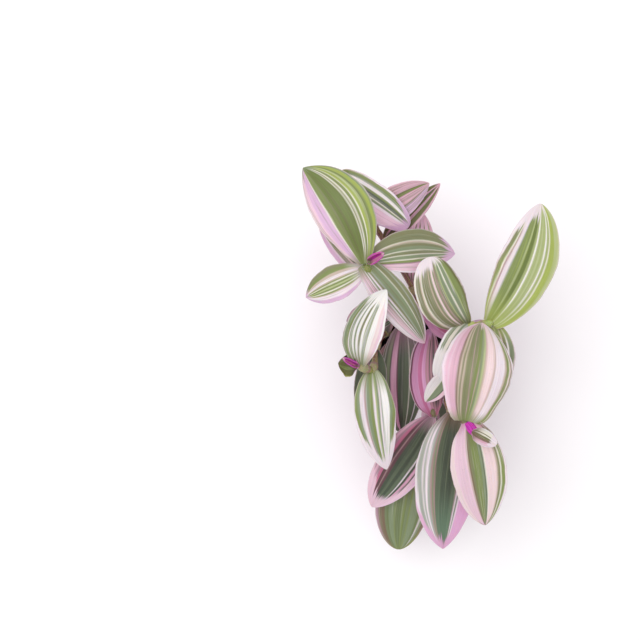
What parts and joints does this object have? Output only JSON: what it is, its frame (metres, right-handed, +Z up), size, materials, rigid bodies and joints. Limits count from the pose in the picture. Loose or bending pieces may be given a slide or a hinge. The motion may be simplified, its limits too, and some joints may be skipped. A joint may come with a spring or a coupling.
{
  "type": "potted tradescantia",
  "caption": "Potted tradescantia with thick pink, white and green striped leaves on sprawling stems, in a small round dark-brown nursery pot filled with soil.",
  "frame": {"origin": "centre of the pot's flat underside, on the surface that the pot stands on", "axes": "+Z up along the pot's axis; +Y is the top of the picture and +X its right, seen from straight above"},
  "size_m": [0.1824, 0.2877, 0.1312],
  "materials": {
    "pot": "satin",
    "soil": "matte",
    "leaf": "satin"
  },
  "bodies": {
    "root": {"pot": "pot", "soil": "soil", "leafy_stem_front_right": "leaf", "leafy_stem_right": "leaf", "leafy_stem_front": "leaf", "leafy_stem_left": "leaf", "leafy_stem_back_left": "leaf", "leafy_stem_short": "leaf", "leafy_stem_back": "leaf"}
  },
  "joints": []
}
